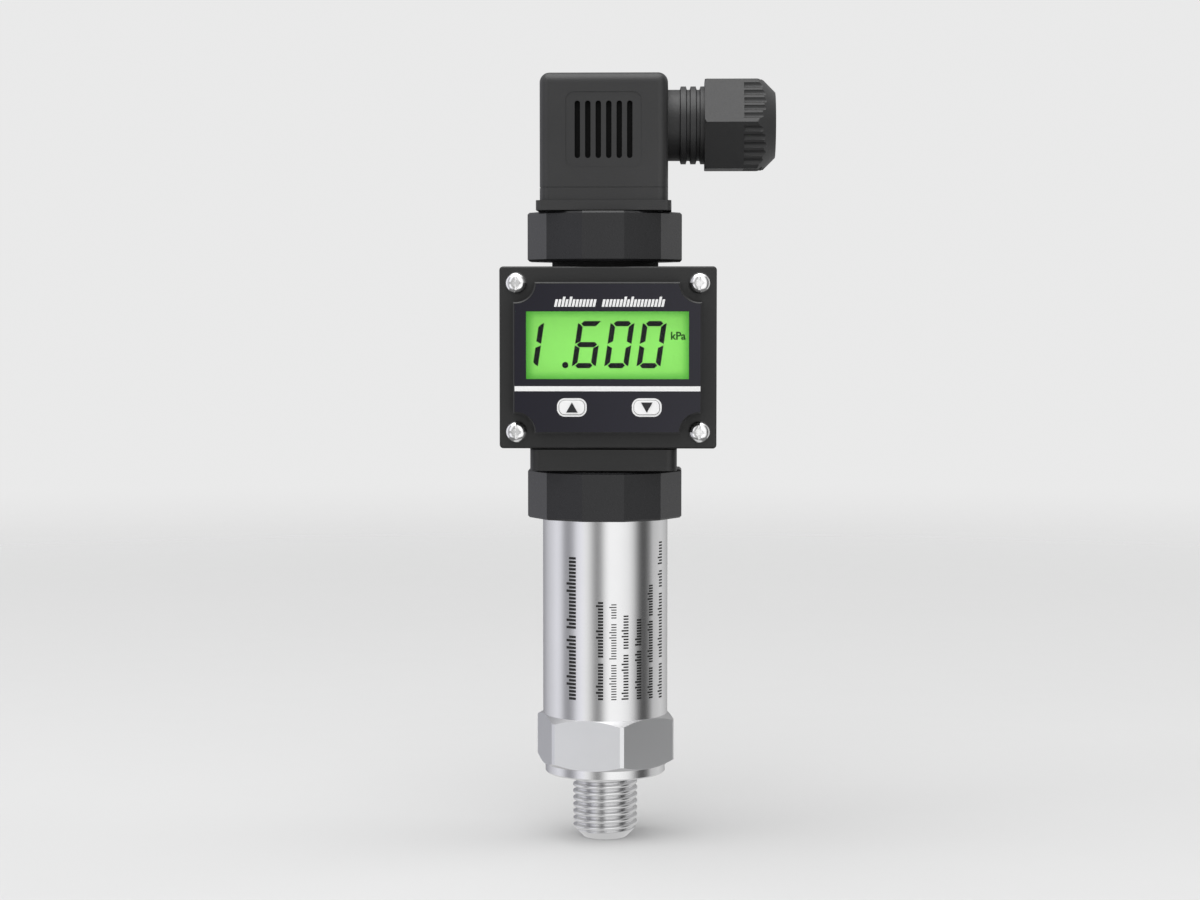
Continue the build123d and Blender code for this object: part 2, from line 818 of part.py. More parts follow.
with BuildPart() as button_rings:
    with BuildSketch(head_plane.offset(film_face)):
        with Locations(*button_places):
            key_outline(key_gap + button_ring_width)
            key_outline(key_gap, mode=Mode.SUBTRACT)
    extrude(amount=print_thickness)
button_rings.part.label = "button_rings"
export_step(button_rings.part, "parts/button_rings.step")


# Window and liquid-crystal cell: two glass plates with the dark segments between them
def window_plate(name, start, margin, thickness):
    """Rectangular plate behind the window, from a face towards the back."""
    with BuildPart() as plate:
        with BuildSketch(head_plane.offset(start)):
            with Locations((0, window_above_middle)):
                Rectangle(window_width + 2 * margin, window_tall + 2 * margin)
        extrude(amount=-thickness)
    plate.part.label = name
    export_step(plate.part, f"parts/{name}.step")


front_glass_back = cover_inside - lcd_glass_thickness
rear_glass_face = front_glass_back - lcd_cell_gap
window_plate("window_lens", plateau_face, lens_margin - still_gap, cover_face)
window_plate("lcd_front_glass", cover_inside, lcd_margin, lcd_glass_thickness)
window_plate("lcd_rear_glass", rear_glass_face, lcd_margin, lcd_glass_thickness)
window_plate("backlight", lcd_back, lcd_margin, backlight_thickness)

lean = tan(radians(digit_slant))
half_width = digit_width / 2
half_height = digit_height / 2
bar_end = half_width - digit_stroke / 2
bar_level = half_height - digit_stroke / 2


def leaning(points, place):
    """Digit outline points, leaned to the right and moved to a digit's place."""
    level = window_above_middle + digit_above_window
    return [(place + x + y * lean, level + y) for x, y in points]


def flat_bar(level, place, tip=bar_end - segment_gap, open_end=False):
    """Horizontal segment with pointed ends; an open end runs out to the digit's corner in their place."""
    side = tip - digit_stroke / 2
    top = level + digit_stroke / 2
    bottom = level - digit_stroke / 2
    right_end = [(half_width - digit_stroke / 4, top)] if open_end else [(side, top), (tip, level)]
    outline = [(-tip, level), (-side, top), *right_end, (side, bottom), (-side, bottom)]
    Polygon(*leaning(outline, place), align=None)


def upright_bar(side, half, place):
    """Vertical segment: side is -1 or 1 for left or right, half is -1 or 1 for low or high."""
    outer = side * half_width
    inner = side * (half_width - digit_stroke)
    middle = side * bar_end
    near = half * segment_gap
    far = half * (bar_level - segment_gap)
    shoulder = half * (digit_stroke / 2 + segment_gap)
    outline = (
        (outer, near),
        (inner, shoulder),
        (inner, half * (bar_level - digit_stroke / 2 - segment_gap)),
        (middle, far),
        (outer, half * (bar_level + digit_stroke / 4 - segment_gap)),
    )
    Polygon(*leaning(outline, place), align=None)


with BuildPart() as lcd_segments:
    with BuildSketch(head_plane.offset(front_glass_back)):
        for half in (-1, 1):
            upright_bar(1, half, one_place - half_width)
        with Locations(leaning([(0, point_r - half_height)], point_place)[0]):
            Circle(point_r)
        for place in digit_places:
            flat_bar(bar_level, place, open_end=place == digit_places[0])
            flat_bar(-bar_level, place)
            upright_bar(-1, 1, place)
            upright_bar(-1, -1, place)
            upright_bar(1, -1, place)
        flat_bar(0, digit_places[0], tip=bar_end + segment_gap)
        for place in digit_places[1:]:
            upright_bar(1, 1, place)
    extrude(amount=-lcd_cell_gap)
lcd_segments.part.label = "lcd_segments"
export_step(lcd_segments.part, "parts/lcd_segments.step")


# Display board with its screws, switches and buttons
with BuildPart() as display_board:
    with BuildSketch(head_plane.offset(display_board_face)):
        notched_panel(
            pocket_width - 2 * board_pocket_gap,
            pocket_tall - 2 * board_pocket_gap,
            notch_r + cover_wall + board_pocket_gap,
        )
        with Locations(*boss_post_places):
            Circle(tapping_screw_r + still_gap, mode=Mode.SUBTRACT)
    extrude(amount=-board_thickness)
display_board.part.label = "display_board"
export_step(display_board.part, "parts/display_board.step")

with BuildPart() as display_screws:
    with BuildSketch(head_plane.offset(display_board_back)):
        with Locations(*boss_post_places):
            Circle(tapping_head_r)
    extrude(amount=-tapping_head_height)
    with BuildSketch(head_plane.offset(display_board_back)):
        with Locations(*boss_post_places):
            Circle(tapping_screw_r)
    extrude(amount=tapping_screw_length)
display_screws.part.label = "display_screws"
export_step(display_screws.part, "parts/display_screws.step")

switch_face = display_board_face + switch_height
plunger_hole = plunger_overlap + button_travel + key_gap
with BuildPart() as key_switches:
    with BuildSketch(head_plane.offset(display_board_face)):
        with Locations(*button_places):
            Rectangle(switch_side, switch_side)
    extrude(amount=switch_height)
    with BuildSketch(head_plane.offset(switch_face)):
        with Locations(*button_places):
            Circle(plunger_r + running_gap)
    extrude(amount=-plunger_hole, mode=Mode.SUBTRACT)
key_switches.part.label = "key_switches"
export_step(key_switches.part, "parts/key_switches.step")

cap_face = film_face + button_proud
flange_face = cover_inside - key_gap
flange_back = flange_face - button_flange_thickness
for button_name, button_place, point_side in zip(("up", "down"), button_places, (1, -1)):
    with BuildPart() as button:
        with BuildSketch(head_plane.offset(flange_face)):
            with Locations(button_place):
                key_outline(0)
        extrude(amount=cap_face - flange_face)
        fillet(button.faces().sort_by(Axis.Y)[0].edges(), radius=button_edge)
        with BuildSketch(head_plane.offset(flange_back)):
            with Locations(button_place):
                key_outline(button_flange)
        extrude(amount=button_flange_thickness)
        with BuildSketch(head_plane.offset(flange_back)):
            with Locations(button_place):
                Circle(plunger_r)
        extrude(amount=switch_face - plunger_overlap - flange_back)
    button.part.label = f"{button_name}_button"
    export_step(button.part, f"parts/{button_name}_button.step")

    with BuildPart() as arrow:
        with BuildSketch(head_plane.offset(cap_face)):
            with Locations(button_place):
                arrow_foot = -point_side * arrow_tall / 2
                Polygon(
                    (-arrow_width / 2, arrow_foot),
                    (arrow_width / 2, arrow_foot),
                    (0, -arrow_foot),
                    align=None,
                )
        extrude(amount=print_thickness)
    arrow.part.label = f"{button_name}_arrow"
    export_step(arrow.part, f"parts/{button_name}_arrow.step")


# Contact carriers: the socket in the head and the one in the plug
def spring_contacts(bottom, top):
    """Four square sleeves that grip the blades, each with a lug that rests on its carrier."""
    inner_x = blade_thickness + 2 * contact_play
    inner_y = blade_width + 2 * contact_play
    with BuildPart() as contacts:
        with BuildSketch(Plane.XY.offset(bottom)):
            with PolarLocations(blade_offset, len(blade_turns)):
                Rectangle(inner_x + 2 * contact_wall, inner_y + 2 * contact_wall)
        extrude(amount=top + contact_above - bottom)
        with BuildSketch(Plane.XY.offset(top)):
            with PolarLocations(blade_offset, len(blade_turns)):
                Rectangle(inner_x + 2 * contact_wall + 2 * contact_lug, inner_y + 2 * contact_wall)
        extrude(amount=contact_lug)
        extrude(blade_slots(bottom, contact_play), amount=top + contact_above - bottom, mode=Mode.SUBTRACT)
    return contacts


def contact_cavities(bottom):
    """Sketch of the holes for the sleeves and the middle screw."""
    with BuildSketch(Plane.XY.offset(bottom)) as cavities:
        add(blade_slots(bottom, contact_play + contact_wall + still_gap))
        Circle(head_screw_r + key_gap)
    return cavities.sketch


socket_bottom = lower_base_top + gasket_thickness
socket_top = head_floor + socket_flange
with BuildPart() as socket_insert:
    with BuildSketch(Plane.XY.offset(socket_bottom)):
        Rectangle(socket_side, socket_side)
    extrude(amount=head_floor - socket_bottom)
    with BuildSketch(Plane.XY.offset(head_floor)):
        Rectangle(socket_flange_side, socket_flange_side)
    extrude(amount=socket_flange)
    extrude(contact_cavities(socket_bottom), amount=socket_top - socket_bottom, mode=Mode.SUBTRACT)
socket_insert.part.label = "socket_insert"
export_step(socket_insert.part, "parts/socket_insert.step")

socket_contacts = spring_contacts(socket_bottom + socket_flange, socket_top)
socket_contacts.part.label = "socket_contacts"
export_step(socket_contacts.part, "parts/socket_contacts.step")

with BuildPart() as head_screw:
    with BuildSketch(Plane.XY.offset(socket_top)):
        Circle(pan_head_r)
    extrude(amount=pan_head_height)
    fillet(head_screw.edges().group_by(Axis.Z)[-1], radius=pan_head_height / 2)
    with BuildSketch(Plane.XY.offset(lower_base_top - head_screw_grip)):
        Circle(head_screw_r)
    extrude(amount=socket_top + head_screw_grip - lower_base_top)
    with BuildSketch(Plane.XY.offset(socket_top + pan_head_height)):
        Rectangle(cross_length, cross_width)
        Rectangle(cross_width, cross_length)
    extrude(amount=-cross_depth, mode=Mode.SUBTRACT)
head_screw.part.label = "head_screw"
export_step(head_screw.part, "parts/head_screw.step")


# Neck of the head: rubber washer, upper base with its threaded stem, and the nut inside the box
stem_bottom = head_ceiling - lock_nut_height - stem_below_nut
with BuildPart() as neck_seal:
    with BuildSketch(Plane.XY.offset(head_top)):
        Circle(stem_r + still_gap + neck_seal_wall)
        Circle(stem_r + still_gap, mode=Mode.SUBTRACT)
    extrude(amount=neck_gap)
neck_seal.part.label = "neck_seal"
export_step(neck_seal.part, "parts/neck_seal.step")

with BuildPart() as lock_nut:
    with BuildSketch(Plane.XY.offset(head_ceiling - lock_nut_height)):
        Circle(lock_nut_r)
        Circle(stem_r + still_gap, mode=Mode.SUBTRACT)
        with PolarLocations(lock_nut_r, 4, start_angle=45):
            Rectangle(spanner_slot, spanner_slot, mode=Mode.SUBTRACT)
    extrude(amount=lock_nut_height)
lock_nut.part.label = "lock_nut"
export_step(lock_nut.part, "parts/lock_nut.step")

upper_body = twelve_sided_body(upper_base_bottom)
with BuildPart() as upper_base:
    add(upper_body)
    with BuildSketch(Plane.XY.offset(stem_bottom)):
        Circle(stem_r)
    extrude(amount=upper_base_bottom - stem_bottom)
    with BuildSketch(Plane.XY.offset(stem_bottom)):
        Circle(stem_bore_r)
    extrude(amount=upper_base_bottom - stem_bottom, mode=Mode.SUBTRACT)
    with BuildSketch(Plane.XY.offset(upper_base_bottom)):
        Circle(stem_bore_r)
    extrude(amount=insert_step - blade_tail, mode=Mode.SUBTRACT)
    with BuildSketch(Plane.XY.offset(upper_base_bottom + insert_step - blade_tail)):
        Circle(lead_bore_r + still_gap)
    extrude(amount=blade_tail, mode=Mode.SUBTRACT)
    with BuildSketch(Plane.XY.offset(upper_base_bottom + insert_step)):
        Circle(insert_seat_r)
    extrude(amount=insert_thickness, mode=Mode.SUBTRACT)
upper_base.part.label = "upper_base"
export_step(upper_base.part, "parts/upper_base.step")

upper_insert = contact_insert(upper_base_top)
upper_insert.part.label = "upper_insert"
export_step(upper_insert.part, "parts/upper_insert.step")

upper_blades = contact_blades(upper_base_top)
upper_blades.part.label = "upper_blades"
export_step(upper_blades.part, "parts/upper_blades.step")

upper_gasket = contact_gasket(upper_base_top)
upper_gasket.part.label = "upper_gasket"
export_step(upper_gasket.part, "parts/upper_gasket.step")

# Leads inside the head, from the socket's lugs up to the upper blades
upper_lug = upper_base_top - insert_thickness - blade_tail
head_lead_start = socket_top + contact_above
with BuildPart() as head_leads:
    with BuildSketch(Plane.XY.offset(head_lead_start)):
        with Locations(*lead_places):
            Circle(lead_r)
    extrude(amount=upper_lug - head_lead_start)
head_leads.part.label = "head_leads"
export_step(head_leads.part, "parts/head_leads.step")

# Two short leads from the display board back to the head's leads
display_lead_places = [(side * lead_offset, head_middle) for side in (-1, 1)]
with BuildPart() as display_leads:
    with BuildSketch(Plane.XZ.offset(lead_r + still_gap)):
        with Locations(*display_lead_places):
            Circle(display_lead_r)
    extrude(amount=display_board_back - lead_r - still_gap)
display_leads.part.label = "display_leads"
export_step(display_leads.part, "parts/display_leads.step")


# Plug housing with the inlet sleeve of the gland
plug_side = plug_flange_side - 2 * plug_flange_lip
plug_bottom = upper_base_top + plug_seat_gap
plug_cavity_side = plug_side - 2 * plug_wall
plug_cavity_top = plug_top - plug_top_wall
plug_insert_bottom = upper_base_top + gasket_thickness
plug_insert_top = plug_insert_bottom + plug_insert_height
sleeve_plane = Plane((0, 0, gland_z), x_dir=(1, 0, 0), z_dir=(0, -1, 0))
gland_plane = Plane((0, 0, gland_z), x_dir=(0, 1, 0), z_dir=(1, 0, 0))
gland_axis = Axis((0, 0, gland_z), (1, 0, 0))
sleeve_root = plug_side / 2 - plug_wall
thread_start = plug_side / 2 + neck_length
turn_count = int((sleeve_end - thread_start) / gland_pitch)
seam_side = plug_side - 2 * plug_seam_depth
with BuildPart() as plug_housing:
    with BuildSketch(Plane.XY.offset(plug_bottom)):
        RectangleRounded(plug_side, plug_side, plug_corner_r)
    extrude(amount=plug_top - plug_bottom)
    fillet(plug_housing.edges().group_by(Axis.Z)[-1], radius=plug_top_r)
    with BuildSketch(Plane.XY.offset(upper_base_top + plug_seam_z)):
        Rectangle(plug_flange_side, plug_flange_side)
        RectangleRounded(seam_side, seam_side, plug_corner_r - plug_seam_depth, mode=Mode.SUBTRACT)
    extrude(amount=2 * plug_seam_depth, mode=Mode.SUBTRACT)
    with BuildSketch(Plane.XY.offset(plug_bottom)):
        RectangleRounded(plug_flange_side, plug_flange_side, plug_flange_r)
    extrude(amount=plug_flange_height - plug_seat_gap)
    with BuildSketch(sleeve_plane):
        with BuildLine():
            sleeve_outline = [(sleeve_root, 0), (sleeve_root, neck_r)]
            for turn in range(turn_count):
                turn_start = thread_start + turn * gland_pitch
                crest_start = turn_start + gland_flank
                crest_end = crest_start + gland_crest
                sleeve_outline.append((turn_start, neck_r))
                sleeve_outline.append((crest_start, gland_thread_r))
                sleeve_outline.append((crest_end, gland_thread_r))
                sleeve_outline.append((crest_end + gland_flank, neck_r))
            sleeve_outline.append((sleeve_end, neck_r))
            sleeve_outline.append((sleeve_end, 0))
            Polyline(*sleeve_outline, close=True)
        make_face()
    revolve(axis=gland_axis)
    with BuildSketch(Plane.XY.offset(upper_base_top)):
        RectangleRounded(gasket_pocket_side, gasket_pocket_side, gasket_pocket_r)
    extrude(amount=gasket_thickness, mode=Mode.SUBTRACT)
    with BuildSketch(Plane.XY.offset(plug_insert_bottom)):
        Rectangle(plug_cavity_side, plug_cavity_side)
        Circle(column_r, mode=Mode.SUBTRACT)
    extrude(amount=plug_cavity_top - plug_insert_bottom, mode=Mode.SUBTRACT)
    with BuildSketch(Plane.XY.offset(plug_insert_bottom)):
        Circle(column_r + still_gap)
    extrude(amount=plug_insert_height, mode=Mode.SUBTRACT)
    with BuildSketch(Plane.XY.offset(plug_insert_top)):
        Circle(head_screw_r + key_gap)
    extrude(amount=plug_top - plug_insert_top, mode=Mode.SUBTRACT)
    with BuildSketch(Plane.XY.offset(plug_top)):
        Circle(head_recess_r)
    extrude(amount=-head_recess_depth, mode=Mode.SUBTRACT)
    with BuildSketch(gland_plane.offset(plug_cavity_side / 2 - plug_wall)):
        Circle(cable_way_r)
    extrude(amount=grommet_start - plug_cavity_side / 2 + plug_wall, mode=Mode.SUBTRACT)
    with BuildSketch(gland_plane.offset(grommet_start)):
        Circle(sleeve_bore_r)
    extrude(amount=sleeve_end - grommet_start, mode=Mode.SUBTRACT)
    panel_plane = Plane((0, 0, upper_base_top + panel_above_base), x_dir=(1, 0, 0), z_dir=(0, -1, 0))
    with BuildSketch(panel_plane.offset(plug_side / 2)):
        RectangleRounded(panel_width, panel_tall, panel_corner_r)
    extrude(amount=-panel_depth, mode=Mode.SUBTRACT)
    with BuildSketch(panel_plane.offset(plug_side / 2 - panel_depth)):
        with GridLocations(slot_pitch, slot_pitch, slot_count, 1):
            SlotOverall(slot_tall, slot_width, rotation=90)
    extrude(amount=-slot_depth, mode=Mode.SUBTRACT)
plug_housing.part.label = "plug_housing"
export_step(plug_housing.part, "parts/plug_housing.step")

plug_insert_side = plug_cavity_side - 2 * still_gap
with BuildPart() as plug_insert:
    with BuildSketch(Plane.XY.offset(plug_insert_bottom)):
        Rectangle(plug_insert_side, plug_insert_side)
    extrude(amount=plug_insert_height)
    extrude(contact_cavities(plug_insert_bottom), amount=plug_insert_height, mode=Mode.SUBTRACT)
plug_insert.part.label = "plug_insert"
export_step(plug_insert.part, "parts/plug_insert.step")

plug_contacts = spring_contacts(plug_insert_bottom + socket_flange, plug_insert_top)
plug_contacts.part.label = "plug_contacts"
export_step(plug_contacts.part, "parts/plug_contacts.step")

terminal_top = plug_insert_top + terminal_height
with BuildPart() as terminal_blocks:
    with BuildSketch(Plane.XY.offset(plug_insert_top)):
        with PolarLocations(terminal_offset, 4, start_angle=45):
            Rectangle(terminal_side, terminal_side, rotation=45)
            Circle(terminal_screw_r + still_gap, mode=Mode.SUBTRACT)
    extrude(amount=terminal_height)
terminal_blocks.part.label = "terminal_blocks"
export_step(terminal_blocks.part, "parts/terminal_blocks.step")

with BuildPart() as terminal_screws:
    with BuildSketch(Plane.XY.offset(terminal_top)):
        with PolarLocations(terminal_offset, 4, start_angle=45):
            Circle(terminal_head_r)
            Rectangle(cross_width, 2 * terminal_head_r, mode=Mode.SUBTRACT)
    extrude(amount=terminal_head_height)
    with BuildSketch(Plane.XY.offset(plug_insert_top)):
        with PolarLocations(terminal_offset, 4, start_angle=45):
            Circle(terminal_screw_r)
    extrude(amount=terminal_height + terminal_head_height / 2)
terminal_screws.part.label = "terminal_screws"
export_step(terminal_screws.part, "parts/terminal_screws.step")

screw_head_bottom = plug_top - head_recess_depth + washer_thickness
with BuildPart() as screw_washer:
    with BuildSketch(Plane.XY.offset(plug_top - head_recess_depth)):
        Circle(washer_r)
        Circle(head_screw_r + key_gap, mode=Mode.SUBTRACT)
    extrude(amount=washer_thickness)
screw_washer.part.label = "screw_washer"
export_step(screw_washer.part, "parts/screw_washer.step")

plug_screw_end = upper_base_top - insert_thickness + pin_above_board
with BuildPart() as plug_screw:
    with BuildSketch(Plane.XY.offset(screw_head_bottom)):
        Circle(pan_head_r)
    extrude(amount=pan_head_height)
    with BuildSketch(Plane.XY.offset(screw_head_bottom + pan_head_height)):
        Rectangle(2 * pan_head_r, cross_width)
    extrude(amount=-cross_depth, mode=Mode.SUBTRACT)
    with BuildSketch(Plane.XY.offset(plug_screw_end)):
        Circle(head_screw_r)
    extrude(amount=screw_head_bottom - plug_screw_end)
plug_screw.part.label = "plug_screw"
export_step(plug_screw.part, "parts/plug_screw.step")


# Cable gland: rubber grommet, thrust washer and fluted cap nut
grommet_r = sleeve_bore_r - running_gap
washer_start = sleeve_end - thrust_washer_thickness / 2
washer_end = washer_start + thrust_washer_thickness
with BuildPart() as gland_grommet:
    with BuildSketch(sleeve_plane):
        with BuildLine():
            Polyline(
                (grommet_start + gland_travel, cable_r),
                (grommet_start + gland_travel, grommet_r),
                (washer_start, grommet_r),
                (washer_start, grommet_nose_r),
                (grommet_end, grommet_nose_r),
                (grommet_end, cable_r),
                close=True,
            )
        make_face()
    revolve(axis=gland_axis)
gland_grommet.part.label = "gland_grommet"
export_step(gland_grommet.part, "parts/gland_grommet.step")

with BuildPart() as thrust_washer:
    with BuildSketch(gland_plane.offset(washer_start)):
        Circle(grommet_r)
        Circle(grommet_nose_r + still_gap, mode=Mode.SUBTRACT)
    extrude(amount=thrust_washer_thickness)
thrust_washer.part.label = "thrust_washer"
export_step(thrust_washer.part, "parts/thrust_washer.step")

nut_corner_r = nut_flats / 2 / cos(pi / 6)
nut_bore_r = gland_thread_r + running_gap
nut_wall_start = nut_end - nut_wall_end
nose_r = grommet_r - running_gap
with BuildPart() as gland_nut:
    with BuildSketch(gland_plane.offset(nut_start)):
        RegularPolygon(nut_flats / 2, 6, major_radius=False, rotation=0)
    extrude(amount=nut_end - nut_start)
    with BuildSketch(sleeve_plane):
        with BuildLine():
            Polyline(
                (nut_start, 0),
                (nut_start, nut_corner_r - nut_edge),
                (nut_start + nut_edge, nut_corner_r),
                (nut_end + nut_face_r - nut_corner_r, nut_corner_r),
                (nut_end, nut_face_r),
                (nut_end, 0),
                close=True,
            )
        make_face()
    revolve(axis=gland_axis, mode=Mode.INTERSECT)
    flute_centre_r = nut_flats / 2 + flute_r - flute_depth
    with BuildSketch(gland_plane.offset(flute_start)):
        with PolarLocations(0, 6, start_angle=30):
            with GridLocations(2 * flute_centre_r, flute_pitch, 2, flute_count):
                Circle(flute_r)
    extrude(amount=nut_end - flute_start, mode=Mode.SUBTRACT)
    with BuildSketch(gland_plane.offset(nut_start)):
        Circle(nut_bore_r)
    extrude(amount=nut_wall_start - nut_start, mode=Mode.SUBTRACT)
    with BuildSketch(gland_plane.offset(washer_end)):
        Circle(nose_r)
    extrude(amount=nut_wall_start - washer_end)
    with BuildSketch(gland_plane.offset(nut_start)):
        Circle(grommet_nose_r + running_gap)
    extrude(amount=nut_end - nut_start, mode=Mode.SUBTRACT)
gland_nut.part.label = "gland_nut"
export_step(gland_nut.part, "parts/gland_nut.step")
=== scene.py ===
import json
from math import atan2, cos, hypot, pi, radians, sin, tan
import bmesh
import bpy
from mathutils import Matrix

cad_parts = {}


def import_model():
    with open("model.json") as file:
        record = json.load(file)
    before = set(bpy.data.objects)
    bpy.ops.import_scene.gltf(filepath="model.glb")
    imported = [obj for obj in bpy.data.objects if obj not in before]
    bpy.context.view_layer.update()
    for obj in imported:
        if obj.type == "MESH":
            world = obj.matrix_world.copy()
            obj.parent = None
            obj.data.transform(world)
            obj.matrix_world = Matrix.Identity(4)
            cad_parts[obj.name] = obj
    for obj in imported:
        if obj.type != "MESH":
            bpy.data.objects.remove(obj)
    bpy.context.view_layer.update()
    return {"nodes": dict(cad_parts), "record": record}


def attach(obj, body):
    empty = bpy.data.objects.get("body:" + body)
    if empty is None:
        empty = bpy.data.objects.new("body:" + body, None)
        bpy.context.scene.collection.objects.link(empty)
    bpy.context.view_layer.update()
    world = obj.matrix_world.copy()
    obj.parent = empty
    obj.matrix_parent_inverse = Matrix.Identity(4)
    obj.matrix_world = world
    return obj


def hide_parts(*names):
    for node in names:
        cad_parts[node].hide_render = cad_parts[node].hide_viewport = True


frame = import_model()
nodes = frame["nodes"]
MM = 0.001

# Pressure port, in mm
THREAD_R = 7.0
THREAD_DEPTH = 0.85
THREAD_PITCH = 1.5
THREAD_CREST = 0.30         # share of half a pitch that is flat
THREAD_ROOT = 0.12
THREAD_END = -14.3
THREAD_FADE = -0.7          # where the thread starts to run out towards the collar
THREAD_RUN_OUT = 1.0
TIP_R = 4.7
THREAD_SIDES = 120          # round the axis
THREAD_ROWS = 12            # in one pitch
SMALL_BORE_R = 2.0
SMOOTH_ANGLE = 22           # degrees
NEAR = 0.001
MERGE = 0.000002            # metres, for vertices that belong together

# Hexagon: heights between which its flats lie, and a radius inside its flats, in mm
HEX_LOW = 2.2
HEX_HIGH = 12.9
HEX_FACE = 11.0

# Faces and places that the marks are laid on, in mm
TUBE_R = 13.5
FILM_Y = -20.0
LENS_Y = -16.65
HEAD_X = 1.0
WINDOW_Z = 93.0
MARK_LIFT = 0.03
WORD_GAP = 0.8              # between the words of a greeked line, in pitches
TUBE_STEPS = 3              # flats across a mark on the tube
TUBE_SHORT = 0.72           # height of a short letter as a share of a tall one
# Degrees round the tube, start and end height, tall letter, letters of each word, share inked
TUBE_LINES = (
    (-31.0, 17.3, 48.1, 2.35, (9, 10), 0.33),
    (-3.5, 17.5, 38.7, 1.55, (6, 9), 0.32),
    (8.5, 17.5, 38.3, 1.55, (7, 7, 3), 0.20),
    (19.8, 17.5, 35.8, 1.55, (8, 6), 0.26),
    (33.0, 17.4, 34.8, 1.55, (9, 5), 0.32),
    (47.0, 17.3, 41.9, 1.55, (6, 8, 6), 0.30),
    (62.0, 17.0, 51.0, 1.75, (6, 11, 3, 4), 0.26),
)
TITLE_WORDS = (6, 9)
TITLE_INK = 0.36
TITLE_SHORT = 0.74
TITLE_WIDTH = 23.0
TITLE_TALL = 2.1
TITLE_X = HEAD_X + 0.4
TITLE_Z = WINDOW_Z + 7.95
TITLE_LEAN = 12             # degrees
UNIT_SIZE = 2.25
UNIT_X = HEAD_X + 14.7
UNIT_Z = WINDOW_Z + 1.8
UNIT_THICK = 0.01
UNIT_BOLD = 0.05

# Display glow: half the lit plate's width and height, and the width of its edge band with painted
# shade, in mm
GLOW_HALF_WIDTH = 17.6
GLOW_HALF_TALL = 7.8
GLOW_SHADE_EDGE = 2.6
GLOW_STRENGTH = 0.68
GLOW_PAINTED_SHADE = (0.10, 0.52, 0.05)
GLOW_BRIGHT = (0.275, 0.82, 0.135)
GLASS_IOR = 1.45

# Panel with slots in the plug's front, in mm: the slots' faces lie up to SLOT_DEPTH behind it
PANEL_Y = -13.35
PANEL_Z = 138.1
PANEL_HALF = 7.5
SLOT_START = 0.05
SLOT_DEPTH = 1.0

# Camera, in metres, degrees and mm of lens
CAMERA_PLACE = (0.0148, -0.5368, 0.1013)
CAMERA_TILT = 86.66
CAMERA_TURN = 1.7
CAMERA_LENS = 74.5

# Floor and the pale surroundings, in metres
FLOOR_GREY = 0.63
FLOOR_R = 7.0
ROUND_SIDES = 96            # of the floor and of the studio's wall and discs
FADE_START = 0.12
FADE_END = 1.1
WORLD_LIGHT = 0.5
WORLD_SEEN = 0.82

# Soft lights: place, size in metres, power in watts, and whether the gloss shows them
LIGHTS_AIM = (0, 0, 0.1)
LIGHTS = (
    ("light_top", (-0.1, -0.25, 1.2), 1.3, 13.0, True),
    ("light_left", (-1.2, -0.3, 0.5), 1.0, 4.0, False),
    ("light_right", (1.2, 0.3, 0.5), 1.0, 4.0, False),
    ("light_front", (-0.4, -1.3, 0.8), 0.8, 2.5, False),
)

# Studio that the gloss sees, in metres and levels of light
STUDIO_R = 0.8
STUDIO_LOW = -0.5
STUDIO_HIGH = 0.9
STUDIO_GROUND = 0.2
STUDIO_FOOT = 0.7
STUDIO_FOOT_R = 0.05
STUDIO_COOL = 1.06          # share of blue where the wall is left of STUDIO_COOL_FROM degrees
STUDIO_COOL_FROM = -40
STUDIO_PEAK = 1.25
# The wall's levels by degrees, 0 at the camera and more to the right
STUDIO_LEVELS = (
    (-180, 0.30), (-150, 0.42), (-127, 0.68), (-100, 0.94), (-90, 0.84), (-80, 0.46), (-71, 0.36),
    (-62, 0.52), (-54, 0.88), (-44, 1.06), (-36, 1.06), (-29, 0.86), (-22, 0.52), (-15, 0.30),
    (-8, 0.46), (0, 1.00), (7, 1.23), (28, 1.18), (43, 1.04), (52, 0.78), (60, 0.38), (68, 0.12),
    (78, 0.10), (88, 0.26), (98, 0.64), (123, 0.76), (145, 0.60), (180, 0.30),
)


# Helpers for shapes

def put(name, mesh, body, material):
    """A mesh as a piece that rides on a body and wears one material."""
    mesh.materials.clear()
    mesh.materials.append(material)
    piece = bpy.data.objects.new(name, mesh)
    bpy.context.scene.collection.objects.link(piece)
    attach(piece, body)
    return piece


def to_mesh(name, bm):
    """A bmesh as a flat-shaded mesh."""
    bmesh.ops.recalc_face_normals(bm, faces=bm.faces)
    mesh = bpy.data.meshes.new(name)
    bm.to_mesh(mesh)
    bm.free()
    return mesh


# Helpers for materials

def start_material(name):
    """A new node material, its tree and its shader."""
    material = bpy.data.materials.new(name)
    material.use_nodes = True
    tree = material.node_tree
    return material, tree, tree.nodes["Principled BSDF"]


def noise(tree, scale, detail=3.0, stretch=(1, 1, 1)):
    """Noise in the object's own space; stretch draws it out along an axis."""
    coords = tree.nodes.new("ShaderNodeTexCoord")
    mapping = tree.nodes.new("ShaderNodeMapping")
    mapping.inputs["Scale"].default_value = stretch
    tree.links.new(coords.outputs["Object"], mapping.inputs["Vector"])
    texture = tree.nodes.new("ShaderNodeTexNoise")
    texture.inputs["Scale"].default_value = scale
    texture.inputs["Detail"].default_value = detail
    tree.links.new(mapping.outputs["Vector"], texture.inputs["Vector"])
    return texture.outputs["Fac"]


def tint(tree, factor, low, high, edges=(0.3, 0.7)):
    """A colour between low and high as the factor goes across edges."""
    ramp = tree.nodes.new("ShaderNodeValToRGB")
    ramp.color_ramp.elements[0].position = edges[0]
    ramp.color_ramp.elements[0].color = (*low, 1)
    ramp.color_ramp.elements[1].position = edges[1]
    ramp.color_ramp.elements[1].color = (*high, 1)
    tree.links.new(factor, ramp.inputs["Fac"])
    return ramp.outputs["Color"]


